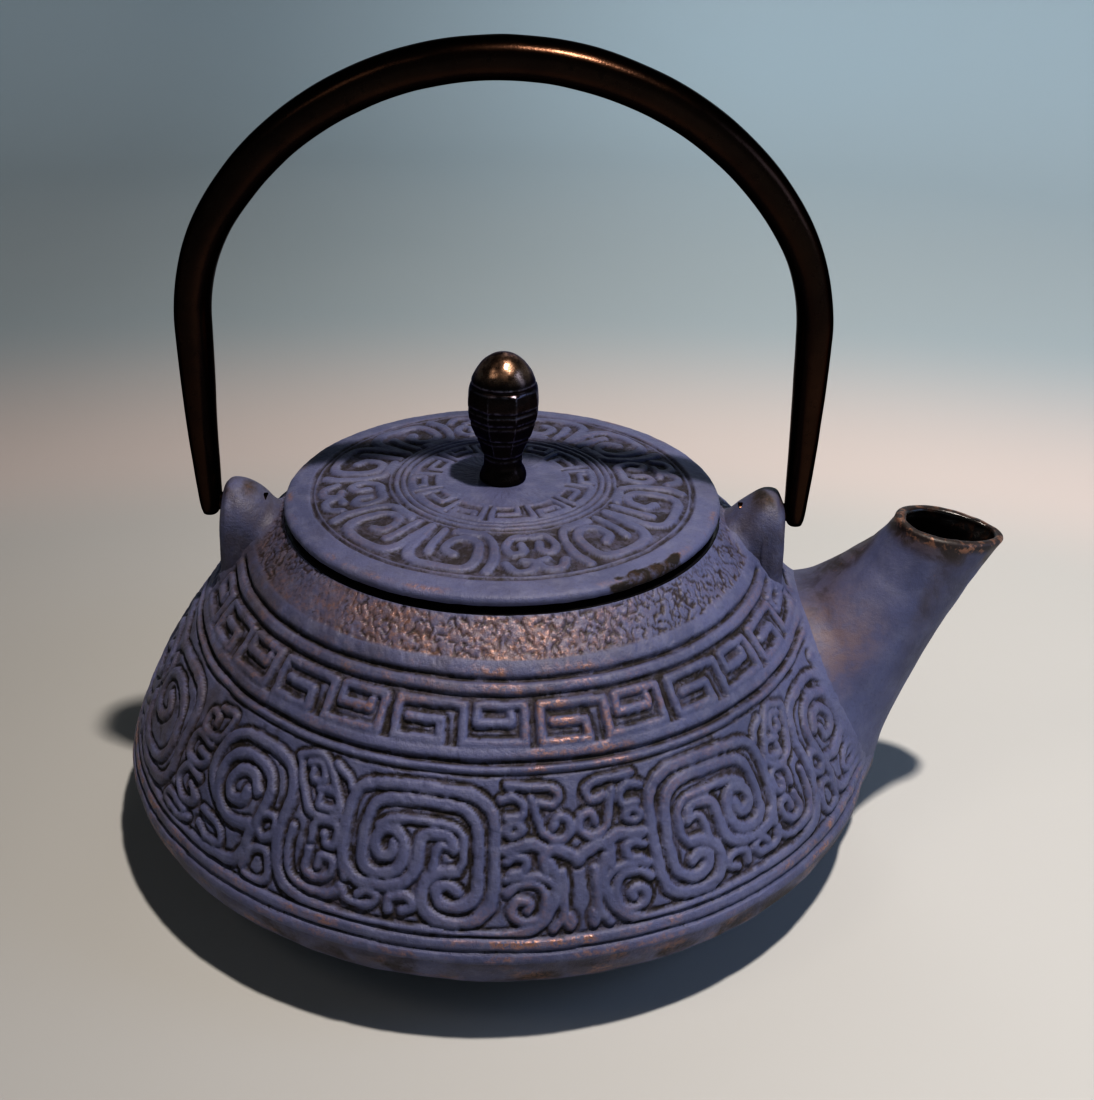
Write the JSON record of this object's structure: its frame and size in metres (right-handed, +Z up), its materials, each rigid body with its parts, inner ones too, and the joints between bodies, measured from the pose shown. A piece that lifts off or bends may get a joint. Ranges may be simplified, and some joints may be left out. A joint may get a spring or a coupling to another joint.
{
  "type": "teapot infuser",
  "caption": "Round cast iron teapot with a bail handle, short spout, lift-off knobbed lid and a lift-out mesh tea infuser basket, in matte blue with worn relief bands.",
  "frame": {"origin": "on the pot's axis of revolution, in the plane of the foot ring that it stands on", "axes": "+Z up along the pot's axis, +X towards the spout, +Y to the left of the spout, away from a viewer who has the spout on the right"},
  "size_m": [0.1907, 0.165, 0.1693],
  "materials": {
    "blue_iron": "matte",
    "black_iron": "satin",
    "plated_steel": "satin",
    "stainless_sheet": "brushed",
    "stainless_mesh": "satin"
  },
  "bodies": {
    "pot": {"pot_body": "blue_iron"},
    "handle": {"handle_bow": "black_iron", "handle_peg_left": "black_iron", "handle_peg_right": "black_iron"},
    "infuser": {"infuser_rim": "stainless_sheet", "infuser_wall": "stainless_mesh", "infuser_floor": "stainless_mesh", "infuser_foot_band": "stainless_sheet", "infuser_seam": "stainless_sheet"},
    "lid": {"lid": "blue_iron", "lid_knob": "black_iron", "knob_stud": "plated_steel", "knob_washer": "plated_steel", "knob_nut": "plated_steel"}
  },
  "joints": [
    {"name": "handle_swing", "type": "hinge", "parent": "pot", "child": "handle", "pos_m": [0, 0, 0.073], "axis": [1, 0, 0], "range_deg": [-114, 114]},
    {"name": "infuser_lift", "type": "slide", "parent": "pot", "child": "infuser", "axis": [0, 0, 1], "range_m": [0, 0.05]},
    {"name": "lid_lift", "type": "slide", "parent": "infuser", "child": "lid", "axis": [0, 0, 1], "range_m": [0, 0.05]}
  ]
}
